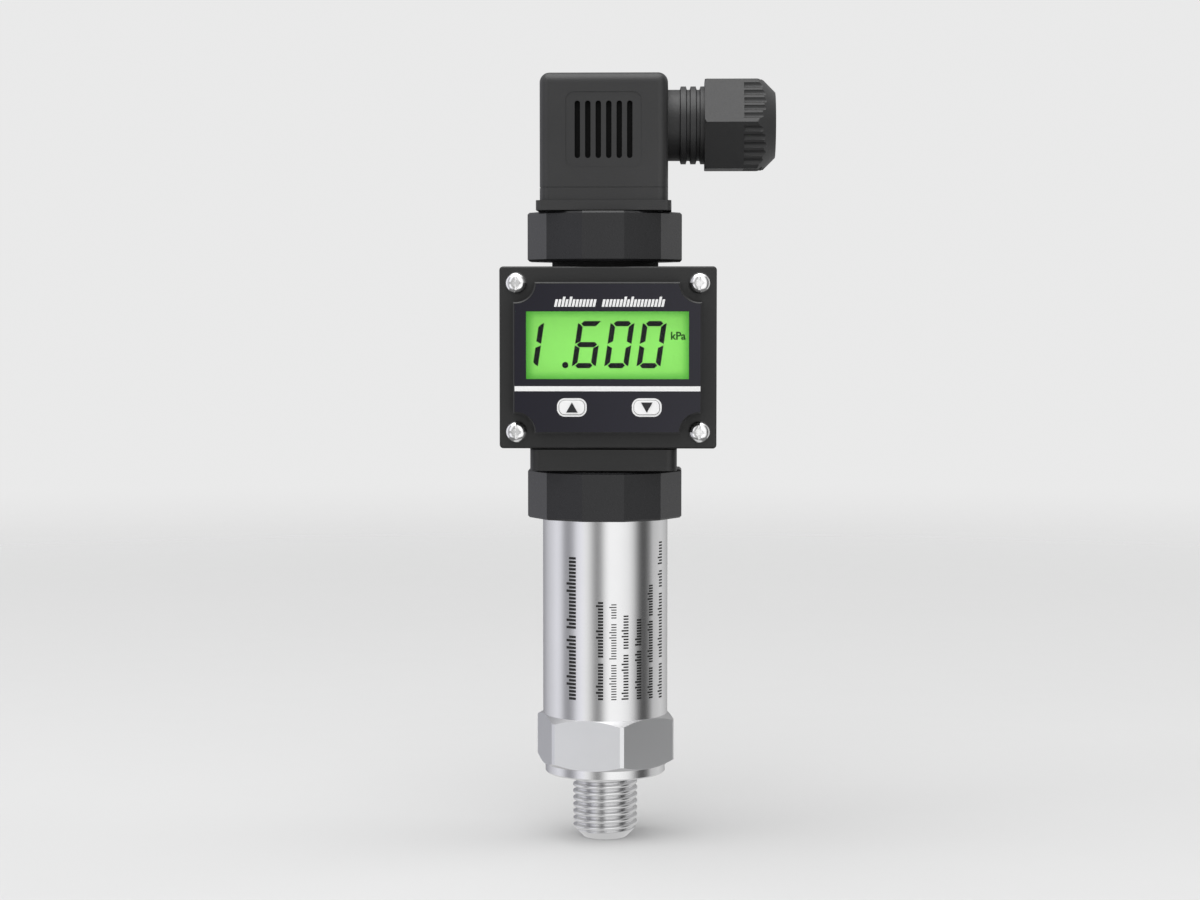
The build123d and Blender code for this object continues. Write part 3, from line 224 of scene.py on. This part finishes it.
def spread(tree, factor, low, high):
    """A number between low and high as the factor goes from 0.3 to 0.7."""
    node = tree.nodes.new("ShaderNodeMapRange")
    node.inputs["From Min"].default_value = 0.3
    node.inputs["From Max"].default_value = 0.7
    node.inputs["To Min"].default_value = low
    node.inputs["To Max"].default_value = high
    tree.links.new(factor, node.inputs["Value"])
    return node.outputs["Result"]


def emboss(tree, shader, height, depth):
    """Fine relief, depth in metres."""
    node = tree.nodes.new("ShaderNodeBump")
    node.inputs["Strength"].default_value = 1.0
    node.inputs["Distance"].default_value = depth
    tree.links.new(height, node.inputs["Height"])
    tree.links.new(node.outputs["Normal"], shader.inputs["Normal"])


def surface(name, colour, change=0.12, roughness=0.5, rough_change=0.06, patch=90,
            grain=2600, grain_depth=0.000012, stretch=(1, 1, 1), metallic=0.0, specular=0.5):
    """A surface whose colour and gloss wander a little, with a fine grain."""
    material, tree, shader = start_material(name)
    shader.inputs["Metallic"].default_value = metallic
    shader.inputs["Specular IOR Level"].default_value = specular
    wide = noise(tree, patch)
    low = [c * (1 - change) for c in colour]
    high = [min(1.0, c * (1 + change)) for c in colour]
    tree.links.new(tint(tree, wide, low, high), shader.inputs["Base Color"])
    fine = noise(tree, grain, 2.0, stretch)
    rough = spread(tree, fine, roughness - rough_change, roughness + rough_change)
    tree.links.new(rough, shader.inputs["Roughness"])
    emboss(tree, shader, fine, grain_depth)
    return material


def clear(name, colour, roughness, opacity):
    """Clear plate with faint smears in its gloss."""
    material, tree, shader = start_material(name)
    shader.inputs["IOR"].default_value = GLASS_IOR
    shader.inputs["Alpha"].default_value = opacity
    wide = noise(tree, 120)
    low = [c * 0.985 for c in colour]
    tree.links.new(tint(tree, wide, low, colour), shader.inputs["Base Color"])
    tree.links.new(spread(tree, wide, roughness, roughness + 0.03), shader.inputs["Roughness"])
    return material


def backlit():
    """The lit plate behind the glass: a real backlight glow in bright green, with painted shade
    making it darker towards its edges.
    """
    material, tree, shader = start_material("backlight_green")
    coords = tree.nodes.new("ShaderNodeTexCoord")
    split = tree.nodes.new("ShaderNodeSeparateXYZ")
    tree.links.new(coords.outputs["Object"], split.inputs["Vector"])
    shares = []
    for axis, middle, half in (("X", HEAD_X, GLOW_HALF_WIDTH), ("Z", WINDOW_Z, GLOW_HALF_TALL)):
        offset = tree.nodes.new("ShaderNodeMath")
        offset.operation = "SUBTRACT"
        offset.inputs[1].default_value = middle * MM
        tree.links.new(split.outputs[axis], offset.inputs[0])
        size = tree.nodes.new("ShaderNodeMath")
        size.operation = "ABSOLUTE"
        tree.links.new(offset.outputs[0], size.inputs[0])
        fall = tree.nodes.new("ShaderNodeMapRange")
        fall.interpolation_type = "SMOOTHSTEP"
        fall.inputs["From Min"].default_value = (half - GLOW_SHADE_EDGE) * MM
        fall.inputs["From Max"].default_value = half * MM
        fall.inputs["To Min"].default_value = 1.0
        fall.inputs["To Max"].default_value = 0.0
        tree.links.new(size.outputs[0], fall.inputs["Value"])
        shares.append(fall.outputs["Result"])
    both = tree.nodes.new("ShaderNodeMath")
    both.operation = "MULTIPLY"
    tree.links.new(shares[0], both.inputs[0])
    tree.links.new(shares[1], both.inputs[1])
    # Painted shade: the glow and colour go darker over the edge band, standing in for the
    # window's inner shadow
    glow = tint(tree, both.outputs[0], GLOW_PAINTED_SHADE, GLOW_BRIGHT, (0.0, 1.0))
    tree.links.new(glow, shader.inputs["Base Color"])
    tree.links.new(glow, shader.inputs["Emission Color"])
    shader.inputs["Emission Strength"].default_value = GLOW_STRENGTH
    shader.inputs["Roughness"].default_value = 0.6
    return material


def board():
    """Solder mask with faint tracks under it."""
    material, tree, shader = start_material("board_green")
    tracks = tree.nodes.new("ShaderNodeTexBrick")
    tracks.inputs["Scale"].default_value = 420
    tracks.inputs["Color1"].default_value = (0.012, 0.090, 0.035, 1)
    tracks.inputs["Color2"].default_value = (0.016, 0.110, 0.045, 1)
    tracks.inputs["Mortar"].default_value = (0.040, 0.190, 0.080, 1)
    coords = tree.nodes.new("ShaderNodeTexCoord")
    tree.links.new(coords.outputs["Object"], tracks.inputs["Vector"])
    tree.links.new(tracks.outputs["Color"], shader.inputs["Base Color"])
    tree.links.new(spread(tree, noise(tree, 500), 0.25, 0.4), shader.inputs["Roughness"])
    emboss(tree, shader, tracks.outputs["Fac"], -0.00003)
    return material


# The grain of turned steel runs round the axis, and that of the hexagon's drawn steel along it
turned = (1, 1, 40)
drawn = (30, 30, 1)
materials = {
    "stainless": surface("stainless", (0.73, 0.73, 0.735), 0.02, 0.17, 0.04, patch=60, grain=900,
                         grain_depth=0.000002, stretch=turned, metallic=1.0),
    "capsule_steel": surface("capsule_steel", (0.62, 0.62, 0.63), 0.05, 0.3, metallic=1.0),
    "seal_rubber": surface("seal_rubber", (0.020, 0.020, 0.020), 0.2, 0.7, specular=0.3),
    "board_green": board(),
    "chip_black": surface("chip_black", (0.030, 0.030, 0.033), 0.15, 0.5, specular=0.3),
    "gold_pins": surface("gold_pins", (0.80, 0.58, 0.25), 0.06, 0.25, metallic=1.0),
    "brass_parts": surface("brass_parts", (0.70, 0.52, 0.24), 0.08, 0.3, metallic=1.0),
    "contact_metal": surface("contact_metal", (0.72, 0.71, 0.68), 0.06, 0.3, metallic=1.0),
    "spacer_plastic": surface("spacer_plastic", (0.70, 0.69, 0.64), 0.05, 0.5),
    "screw_steel": surface("screw_steel", (0.62, 0.62, 0.63), 0.06, 0.28, metallic=1.0),
    "cover_screw_chrome": surface("cover_screw_chrome", (0.93, 0.93, 0.93), 0.02, 0.20, 0.03,
                                  grain=1500, grain_depth=0.000001, metallic=1.0),
    "lead_red": surface("lead_red", (0.45, 0.030, 0.022), 0.1, 0.4),
    "base_black": surface("base_black", (0.0125, 0.0125, 0.0140), 0.08, 0.30, 0.03),
    "insert_black": surface("insert_black", (0.028, 0.028, 0.028), 0.12, 0.5, specular=0.3),
    "box_black": surface("box_black", (0.0105, 0.0105, 0.0105), 0.1, 0.44, 0.05),
    "film_black": surface("film_black", (0.0028, 0.0020, 0.0098), 0.06, 0.20, 0.03,
                          grain=5200, grain_depth=0.000002, specular=0.46),
    "print_white": surface("print_white", (0.90, 0.90, 0.90), 0.02, 0.4),
    "window_clear": clear("window_clear", (0.02, 0.02, 0.02), 0.03, 0.08),
    "lcd_glass": clear("lcd_glass", (0.02, 0.03, 0.02), 0.05, 0.06),
    "lcd_ink": surface("lcd_ink", (0.012, 0.012, 0.015), 0.1, 0.5, specular=0.2),
    "backlight_green": backlit(),
    "button_white": surface("button_white", (0.94, 0.94, 0.94), 0.02, 0.35),
    "arrow_ink": surface("arrow_ink", (0.008, 0.008, 0.011), 0.1, 0.45),
    "plug_black": surface("plug_black", (0.021, 0.021, 0.0215), 0.08, 0.44, 0.05),
    "washer_nylon": surface("washer_nylon", (0.10, 0.10, 0.10), 0.08, 0.45),
}
tube_ink = surface("tube_ink", (0.010, 0.010, 0.010), 0.1, 0.5, specular=0.3)
unit_ink = surface("unit_ink", (0.020, 0.150, 0.012), 0.1, 0.5, specular=0.2)
slot_shade = surface("slot_shade", (0.003, 0.003, 0.003), 0.1, 0.6, specular=0.1)
hex_steel = surface("hex_steel", (0.72, 0.725, 0.735), 0.02, 0.34, 0.04, patch=60, grain=700,
                    grain_depth=0.000003, stretch=drawn, metallic=1.0)
# Painted shade: a darker copy of the hexagon's steel, for the chamfers that face up
shaded_chamfer_steel = surface("shaded_chamfer_steel", (0.58, 0.58, 0.585), 0.02, 0.38, 0.04, patch=60,
                        grain=700, grain_depth=0.000003, stretch=drawn, metallic=1.0)

for part in frame["record"]["subparts"]:
    node = nodes[part["node"]]
    node.data.materials.clear()
    node.data.materials.append(materials[part["material_slot"]])
# The rear glass shows the glow of the plate behind it
nodes["lcd_rear_glass"].data.materials[0] = materials["backlight_green"]


def second_material(piece, material, wanted):
    """A second material on the faces that pass a test on their middle, in mm, and normal."""
    mesh = piece.data
    mesh.materials.append(material)
    for face in mesh.polygons:
        if wanted(face.center / MM, face.normal):
            face.material_index = len(mesh.materials) - 1


second_material(nodes["plug_housing"], slot_shade,
                lambda middle, normal: PANEL_Y + SLOT_START < middle.y < PANEL_Y + SLOT_DEPTH
                and abs(middle.x) < PANEL_HALF and abs(middle.z - PANEL_Z) < PANEL_HALF)


def lift_segments():
    """The segments stand clear of the glass faces on both sides, which they touch in the CAD."""
    lift = nodes["lcd_segments"].modifiers.new("lift", "DISPLACE")
    lift.direction = "Y"
    lift.mid_level = 0.0
    lift.strength = -MARK_LIFT * MM


# Threads

def helix_skin(radius_at, pitch, low, high):
    """The outer skin of a right-handed screw along +Z, from low up to high.

    Its rows follow the helix, so that the crests come out as clean lines.
    radius_at takes the height and the share of the pitch.
    """
    bm = bmesh.new()
    first = int((low - high) / pitch * THREAD_ROWS) - THREAD_ROWS - 1
    rings = []
    for row in range(first, 2):
        ring = []
        for step in range(THREAD_SIDES + 1):
            angle = 2 * pi * step / THREAD_SIDES
            height = high + row * pitch / THREAD_ROWS + pitch * step / THREAD_SIDES
            kept = min(high, max(low, height))
            radius = radius_at(kept, (row / THREAD_ROWS) % 1.0)
            ring.append(bm.verts.new((radius * cos(angle) * MM, radius * sin(angle) * MM,
                                      kept * MM)))
        rings.append(ring)
    for lower, upper in zip(rings, rings[1:]):
        for step in range(THREAD_SIDES):
            bm.faces.new((lower[step], lower[step + 1], upper[step + 1], upper[step]))
    bmesh.ops.remove_doubles(bm, verts=bm.verts, dist=2 * MERGE)
    bmesh.ops.dissolve_degenerate(bm, edges=bm.edges, dist=MERGE)
    return bm


def vee(share, crest, root):
    """0 on the crest flat, 1 in the root, for a share of the pitch."""
    distance = abs(share - 0.5) * 2
    return min(1.0, max(0.0, (distance - crest) / (1 - crest - root)))


def port_radius(height, share):
    """The process thread fades out under the collar and ends in a cone."""
    run_out = min(1.0, max(0.0, (THREAD_FADE - height) / THREAD_RUN_OUT))
    thread = THREAD_R - THREAD_DEPTH * run_out * vee(share, THREAD_CREST, THREAD_ROOT)
    cone = TIP_R + (height - THREAD_END)
    return min(thread, cone)


def keep_faces(node, wanted):
    """A copy of a CAD node's faces that pass a test on their middle, as a bmesh."""
    bm = bmesh.new()
    bm.from_mesh(node.data)
    bmesh.ops.remove_doubles(bm, verts=bm.verts, dist=MERGE)
    gone = [f for f in bm.faces if not wanted(f.calc_center_median() / MM, f.normal)]
    bmesh.ops.delete(bm, geom=gone, context="FACES")
    return bm


def joined(name, *parts):
    """Several bmeshes as one mesh, smooth up to the smooth angle."""
    whole = bmesh.new()
    for part in parts:
        mesh = bpy.data.meshes.new("part")
        part.to_mesh(mesh)
        part.free()
        whole.from_mesh(mesh)
        bpy.data.meshes.remove(mesh)
    bmesh.ops.remove_doubles(whole, verts=whole.verts, dist=MERGE)
    mesh = bpy.data.meshes.new(name)
    whole.to_mesh(mesh)
    whole.free()
    if mesh.has_custom_normals:
        mesh.attributes.remove(mesh.attributes["custom_normal"])
    mesh.shade_smooth()
    mesh.set_sharp_from_angle(angle=radians(SMOOTH_ANGLE))
    return mesh


def port_with_thread():
    """The pressure port with its cut thread, duller steel on the hexagon, and painted shade on
    the chamfers that face up.
    """
    def not_thread(middle, normal):
        """Whether a face isn't part of the plain thread cylinder or the cone at its end."""
        radius = hypot(middle.x, middle.y)
        return middle.z > -NEAR or radius < SMALL_BORE_R or middle.z < THREAD_END + NEAR

    rest = keep_faces(nodes["pressure_port"], not_thread)
    skin = helix_skin(port_radius, THREAD_PITCH, THREAD_END, 0.0)
    piece = put("port_with_thread", joined("port_with_thread", rest, skin),
                "transmitter", materials["stainless"])
    # Upright faces are the flats, faces that look up are the chamfers above them
    second_material(piece, hex_steel, lambda middle, normal: HEX_LOW < middle.z < HEX_HIGH
                    and abs(normal.z) < 0.1 and hypot(middle.x, middle.y) > HEX_FACE)
    # Painted shade: the chamfers that face up wear the darker copy of the steel
    second_material(piece, shaded_chamfer_steel, lambda middle, normal: middle.z > HEX_LOW
                    and normal.z > 0.2 and hypot(middle.x, middle.y) > HEX_FACE)
    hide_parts("pressure_port")


# Marks

def patch_on_tube(bm, angle, width, low, high):
    """A thin raised mark on the tube, between two heights, width along the girth."""
    radius = TUBE_R + MARK_LIFT
    half = width / 2 / TUBE_R
    grid = []
    for step in range(TUBE_STEPS + 1):
        turn = angle - half + 2 * half * step / TUBE_STEPS
        across = (radius * sin(turn) * MM, -radius * cos(turn) * MM)
        grid.append([bm.verts.new((*across, low * MM)), bm.verts.new((*across, high * MM))])
    for a, b in zip(grid, grid[1:]):
        bm.faces.new((a[0], b[0], b[1], a[1]))


def dashes(words, pitch, share):
    """Start and end of each dash of a greeked line, and whether it belongs to a tall letter."""
    place = 0.0
    for word, count in enumerate(words):
        for letter in range(count):
            tall = (letter * 7 + word * 3 + count) % 5 in (0, 3)
            yield place, place + pitch * share, tall
            yield place + pitch * 0.5, place + pitch * (0.5 + share), False
            place += pitch
        place += pitch * WORD_GAP


def tube_print():
    """Lines of plain dashes that run up the tube, where the printing stands."""
    bm = bmesh.new()
    for angle, low, high, tall, words, share in TUBE_LINES:
        count = sum(words) + WORD_GAP * (len(words) - 1)
        pitch = (high - low) / count
        for start, end, full in dashes(words, pitch, share):
            height = tall if full else tall * TUBE_SHORT
            middle = radians(angle) + (tall - height) / 2 / TUBE_R
            patch_on_tube(bm, middle, height, low + start, low + end)
    put("tube_print", to_mesh("tube_print", bm), "transmitter", tube_ink)


def film_title():
    """Slanted white dashes over the window."""
    bm = bmesh.new()
    pitch = TITLE_WIDTH / (sum(TITLE_WORDS) + WORD_GAP)
    left = TITLE_X - TITLE_WIDTH / 2
    y = FILM_Y - MARK_LIFT
    for start, end, full in dashes(TITLE_WORDS, pitch, TITLE_INK):
        height = TITLE_TALL if full else TITLE_TALL * TITLE_SHORT
        slant = height * tan(radians(TITLE_LEAN))
        corners = ((start, 0), (end, 0), (end + slant, height), (start + slant, height))
        bm.faces.new([bm.verts.new(((left + x) * MM, y * MM, (TITLE_Z + z) * MM))
                      for x, z in corners])
    put("film_title", to_mesh("film_title", bm), "transmitter",
        materials["print_white"])


def unit_text():
    """The unit beside the digits."""
    curve = bpy.data.curves.new("unit_text", "FONT")
    curve.body = "kPa"
    curve.size = UNIT_SIZE * MM
    curve.align_x = "CENTER"
    curve.align_y = "CENTER"
    curve.extrude = UNIT_THICK * MM
    curve.offset = UNIT_BOLD * MM
    curve.materials.append(unit_ink)
    text = bpy.data.objects.new("unit_text", curve)
    bpy.context.scene.collection.objects.link(text)
    text.rotation_euler = (radians(90), 0, 0)
    text.location = (UNIT_X * MM, (LENS_Y - MARK_LIFT) * MM, UNIT_Z * MM)
    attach(text, "transmitter")


# Stage, lights and camera

def emitter(name, level, build_colour=None):
    """A glowing surface of one level, white or of the colour that a function builds."""
    material = bpy.data.materials.new(name)
    material.use_nodes = True
    tree = material.node_tree
    tree.nodes.clear()
    light = tree.nodes.new("ShaderNodeEmission")
    light.inputs["Strength"].default_value = level
    if build_colour:
        tree.links.new(build_colour(tree), light.inputs["Color"])
    output = tree.nodes.new("ShaderNodeOutputMaterial")
    tree.links.new(light.outputs["Emission"], output.inputs["Surface"])
    return material


def studio_ramp(tree):
    """The studio wall's grey by its direction, from behind by way of the left to behind again."""
    coords = tree.nodes.new("ShaderNodeTexCoord")
    split = tree.nodes.new("ShaderNodeSeparateXYZ")
    tree.links.new(coords.outputs["Object"], split.inputs["Vector"])
    away = tree.nodes.new("ShaderNodeMath")
    away.operation = "MULTIPLY"
    away.inputs[1].default_value = -1.0
    tree.links.new(split.outputs["Y"], away.inputs[0])
    turn = tree.nodes.new("ShaderNodeMath")
    turn.operation = "ARCTAN2"
    tree.links.new(split.outputs["X"], turn.inputs[0])
    tree.links.new(away.outputs[0], turn.inputs[1])
    share = tree.nodes.new("ShaderNodeMapRange")
    share.inputs["From Min"].default_value = -pi
    share.inputs["From Max"].default_value = pi
    tree.links.new(turn.outputs[0], share.inputs["Value"])
    ramp = tree.nodes.new("ShaderNodeValToRGB")
    stops = ramp.color_ramp.elements
    while len(stops) > 1:
        stops.remove(stops[-1])
    for place, (azimuth, level) in enumerate(STUDIO_LEVELS):
        at = (azimuth + 180) / 360
        stop = stops.new(at) if place else stops[0]
        stop.position = at
        cool = STUDIO_COOL if azimuth < STUDIO_COOL_FROM else 1.0
        grey = level / STUDIO_PEAK
        stop.color = (grey, grey, min(1.0, grey * cool), 1)
    tree.links.new(share.outputs["Result"], ramp.inputs["Fac"])
    return ramp.outputs["Color"]


def studio_piece(name, bm, material, azimuth=0.0):
    """A stage surface that only reflections see."""
    mesh = to_mesh(name, bm)
    mesh.materials.append(material)
    piece = bpy.data.objects.new(name, mesh)
    bpy.context.scene.collection.objects.link(piece)
    piece.rotation_euler = (0, 0, radians(azimuth))
    piece.visible_camera = False
    piece.visible_diffuse = False
    piece.visible_transmission = False
    piece.visible_shadow = False


def studio():
    """For the gloss alone: a round wall with pale and dark uprights, a dark ground, and the
    pale floor at the foot of the object.
    """
    wall = bmesh.new()
    rings = []
    for height in (STUDIO_LOW, STUDIO_HIGH):
        rings.append([wall.verts.new((STUDIO_R * sin(2 * pi * step / ROUND_SIDES),
                                      STUDIO_R * cos(2 * pi * step / ROUND_SIDES), height))
                      for step in range(ROUND_SIDES)])
    for step in range(ROUND_SIDES):
        after = (step + 1) % ROUND_SIDES
        wall.faces.new((rings[0][step], rings[0][after], rings[1][after], rings[1][step]))
    glow = emitter("studio_wall", STUDIO_PEAK, studio_ramp)
    studio_piece("studio_wall", wall, glow, CAMERA_TURN)
    for name, radius, height, level in (
        ("studio_ground", STUDIO_R, STUDIO_LOW, STUDIO_GROUND),
        ("studio_foot", STUDIO_FOOT_R, THREAD_END * MM, STUDIO_FOOT),
    ):
        disc = bmesh.new()
        bmesh.ops.create_circle(disc, cap_ends=True, segments=ROUND_SIDES, radius=radius,
                                matrix=Matrix.Translation((0, 0, height)))
        studio_piece(name, disc, emitter(name, level))


def soft_light(name, location, size, power, glossy):
    """A square lamp that shines at the object and isn't seen by the camera."""
    light = bpy.data.lights.new(name, "AREA")
    light.shape = "SQUARE"
    light.size = size
    light.energy = power
    lamp = bpy.data.objects.new(name, light)
    bpy.context.scene.collection.objects.link(lamp)
    lamp.location = location
    direction = [a - b for a, b in zip(LIGHTS_AIM, location)]
    lamp.rotation_euler = (atan2(hypot(direction[0], direction[1]), -direction[2]), 0,
                           atan2(direction[1], direction[0]) - pi / 2)
    lamp.visible_camera = False
    lamp.visible_glossy = glossy


def fading_floor():
    """Pale matt floor that melts into the background far from the object."""
    material = surface("floor", (FLOOR_GREY, FLOOR_GREY, FLOOR_GREY), 0.01, 0.8, patch=3,
                       grain=60, grain_depth=0.00002, specular=0.1)
    tree = material.node_tree
    shader = tree.nodes["Principled BSDF"]
    coords = tree.nodes.new("ShaderNodeTexCoord")
    reach = tree.nodes.new("ShaderNodeVectorMath")
    reach.operation = "LENGTH"
    tree.links.new(coords.outputs["Object"], reach.inputs[0])
    fade = tree.nodes.new("ShaderNodeMapRange")
    fade.interpolation_type = "SMOOTHSTEP"
    fade.inputs["From Min"].default_value = FADE_START
    fade.inputs["From Max"].default_value = FADE_END
    fade.inputs["To Min"].default_value = 1.0
    fade.inputs["To Max"].default_value = 0.0
    tree.links.new(reach.outputs["Value"], fade.inputs["Value"])
    tree.links.new(fade.outputs["Result"], shader.inputs["Alpha"])
    return material


def floor():
    """Large round floor at the height of the port's end."""
    bm = bmesh.new()
    bmesh.ops.create_circle(bm, cap_ends=True, segments=ROUND_SIDES, radius=FLOOR_R)
    mesh = to_mesh("floor", bm)
    plane = bpy.data.objects.new("floor", mesh)
    plane.location = (0, 0, THREAD_END * MM)
    bpy.context.scene.collection.objects.link(plane)
    plane.visible_glossy = False
    mesh.materials.append(fading_floor())


def world():
    """Pale all round for the camera and for gloss, softer as a light."""
    sky = bpy.data.worlds.new("studio")
    bpy.context.scene.world = sky
    sky.use_nodes = True
    tree = sky.node_tree
    tree.nodes.clear()
    rays = tree.nodes.new("ShaderNodeLightPath")
    seen = rays.outputs["Is Camera Ray"]
    for kind in ("Is Glossy Ray", "Is Transmission Ray"):
        either = tree.nodes.new("ShaderNodeMath")
        either.operation = "MAXIMUM"
        tree.links.new(seen, either.inputs[0])
        tree.links.new(rays.outputs[kind], either.inputs[1])
        seen = either.outputs[0]
    mix = tree.nodes.new("ShaderNodeMixShader")
    tree.links.new(seen, mix.inputs[0])
    for slot, strength in ((1, WORLD_LIGHT), (2, WORLD_SEEN)):
        background = tree.nodes.new("ShaderNodeBackground")
        background.inputs["Color"].default_value = (1, 1, 1, 1)
        background.inputs["Strength"].default_value = strength
        tree.links.new(background.outputs[0], mix.inputs[slot])
    output = tree.nodes.new("ShaderNodeOutputWorld")
    tree.links.new(mix.outputs[0], output.inputs["Surface"])


def camera():
    """The camera, placed as the photograph's was."""
    lens = bpy.data.cameras.new("camera")
    lens.sensor_width = 36
    lens.lens = CAMERA_LENS
    lens.clip_start = 0.01
    lens.clip_end = 30
    view = bpy.data.objects.new("camera", lens)
    bpy.context.scene.collection.objects.link(view)
    view.location = CAMERA_PLACE
    view.rotation_euler = (radians(CAMERA_TILT), 0, radians(CAMERA_TURN))
    bpy.context.scene.camera = view


lift_segments()
port_with_thread()
tube_print()
film_title()
unit_text()

floor()
world()
camera()
studio()
for light in LIGHTS:
    soft_light(*light)

bpy.context.scene.view_settings.view_transform = "Standard"
